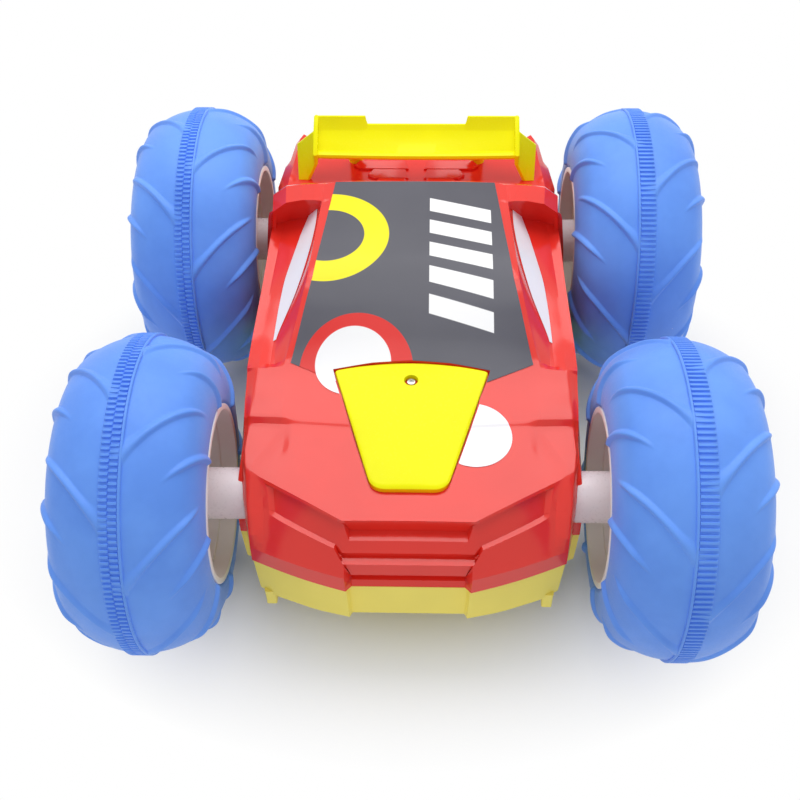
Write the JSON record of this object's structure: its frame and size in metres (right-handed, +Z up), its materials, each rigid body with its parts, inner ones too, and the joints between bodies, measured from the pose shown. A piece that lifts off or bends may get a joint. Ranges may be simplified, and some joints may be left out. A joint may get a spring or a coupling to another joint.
{
  "type": "rc stunt car",
  "caption": "Radio-controlled stunt car: gloss red shell on a yellow chassis, rear wing, tilting battery door, and large ribbed blue balloon tyres that stand higher than the body.",
  "frame": {"origin": "on the floor, in the middle of the box round the four tyres", "axes": "+Z up, nose towards -Y, +X is the car's side that lies to the right when its nose points at the viewer"},
  "size_m": [0.2278, 0.2526, 0.11],
  "materials": {
    "red_shell": "moulded ABS, high gloss",
    "yellow_body": "moulded ABS, gloss",
    "tyre_blue": "soft vinyl, satin",
    "hub_white": "moulded, satin",
    "steel": "zinc plated",
    "bush_brass": "sintered",
    "gear_white": "acetal",
    "case_grey": "moulded",
    "black_plastic": "moulded",
    "board_green": "solder mask",
    "pack_wrap": "heat-shrink film",
    "print_dark": "printed film with yellow, red and white figures",
    "print_white": "printed film"
  },
  "bodies": {
    "chassis": {"upper_shell": "red_shell", "lower_chassis": "yellow_body", "rear_wing": "yellow_body", "roof_panel": "print_dark", "hood_decal": "print_white", "window_decals": "print_white", "chassis_screws": "steel", "gearbox_screws": "steel", "wing_screws": "steel", "gearbox_case_left": "case_grey", "gearbox_case_right": "case_grey", "motor_can_left": "steel", "motor_can_right": "steel", "idler_pins": "steel", "gearbox_bushes": "bush_brass", "sleeve_front_left": "hub_white", "sleeve_front_right": "hub_white", "sleeve_rear_left": "hub_white", "sleeve_rear_right": "hub_white", "sleeve_bush_rear_left": "bush_brass", "sleeve_bush_rear_right": "bush_brass", "axle_front_left": "steel", "axle_front_right": "steel", "axle_screw_front_left": "steel", "axle_screw_front_right": "steel", "battery_tray": "case_grey", "battery_pack": "pack_wrap", "battery_contacts": "bush_brass", "circuit_board": "board_green", "board_parts": "black_plastic", "switch_body": "black_plastic"},
    "door": {"battery_door": "yellow_body", "door_screw": "steel"},
    "switch": {"switch_knob": "black_plastic"},
    "wheel_front_left": {"tyre_front_left": "tyre_blue", "hub_front_left": "hub_white", "hub_cap_front_left": "hub_white", "wheel_bush_front_left": "bush_brass"},
    "wheel_front_right": {"tyre_front_right": "tyre_blue", "hub_front_right": "hub_white", "hub_cap_front_right": "hub_white", "wheel_bush_front_right": "bush_brass"},
    "wheel_rear_left": {"tyre_rear_left": "tyre_blue", "hub_rear_left": "hub_white", "hub_cap_rear_left": "hub_white", "axle_rear_left": "steel", "axle_screw_rear_left": "steel", "output_gear_left": "gear_white"},
    "wheel_rear_right": {"tyre_rear_right": "tyre_blue", "hub_rear_right": "hub_white", "hub_cap_rear_right": "hub_white", "axle_rear_right": "steel", "axle_screw_rear_right": "steel", "output_gear_right": "gear_white"},
    "idler_left": {"idler_gear_left": "gear_white"},
    "rotor_left": {"rotor_left": "steel", "pinion_left": "gear_white"},
    "idler_right": {"idler_gear_right": "gear_white"},
    "rotor_right": {"rotor_right": "steel", "pinion_right": "gear_white"}
  },
  "joints": [
    {"name": "wheel_front_left_spin", "type": "hinge", "parent": "chassis", "child": "wheel_front_left", "pos_m": [-0.0889, -0.0713, 0.055], "axis": [1, 0, 0], "continuous": true},
    {"name": "wheel_front_right_spin", "type": "hinge", "parent": "chassis", "child": "wheel_front_right", "pos_m": [0.0889, -0.0713, 0.055], "axis": [1, 0, 0], "continuous": true},
    {"name": "wheel_rear_left_spin", "type": "hinge", "parent": "chassis", "child": "wheel_rear_left", "pos_m": [-0.0889, 0.0713, 0.055], "axis": [1, 0, 0], "continuous": true},
    {"name": "wheel_rear_right_spin", "type": "hinge", "parent": "chassis", "child": "wheel_rear_right", "pos_m": [0.0889, 0.0713, 0.055], "axis": [1, 0, 0], "continuous": true},
    {"name": "idler_left_spin", "type": "hinge", "parent": "chassis", "child": "idler_left", "pos_m": [-0.037, 0.0572, 0.04987], "axis": [1, 0, 0], "continuous": true},
    {"name": "rotor_left_spin", "type": "hinge", "parent": "chassis", "child": "rotor_left", "pos_m": [-0.0175, 0.0457, 0.04987], "axis": [1, 0, 0], "continuous": true},
    {"name": "idler_right_spin", "type": "hinge", "parent": "chassis", "child": "idler_right", "pos_m": [0.037, 0.0572, 0.04987], "axis": [1, 0, 0], "continuous": true},
    {"name": "rotor_right_spin", "type": "hinge", "parent": "chassis", "child": "rotor_right", "pos_m": [0.0175, 0.0457, 0.04987], "axis": [1, 0, 0], "continuous": true},
    {"name": "door_hinge", "type": "hinge", "parent": "chassis", "child": "door", "pos_m": [0, -0.0795, 0.06847], "axis": [1, 0, 0], "range_deg": [0, 55]},
    {"name": "switch_slide", "type": "slide", "parent": "chassis", "child": "switch", "axis": [0, 1, 0], "range_m": [0, 0.004]}
  ],
  "couplings": [
    {"joint": "idler_left_spin", "follows": "wheel_rear_left_spin", "ratio": -4},
    {"joint": "rotor_left_spin", "follows": "wheel_rear_left_spin", "ratio": 14.4},
    {"joint": "idler_right_spin", "follows": "wheel_rear_right_spin", "ratio": -4},
    {"joint": "rotor_right_spin", "follows": "wheel_rear_right_spin", "ratio": 14.4}
  ]
}
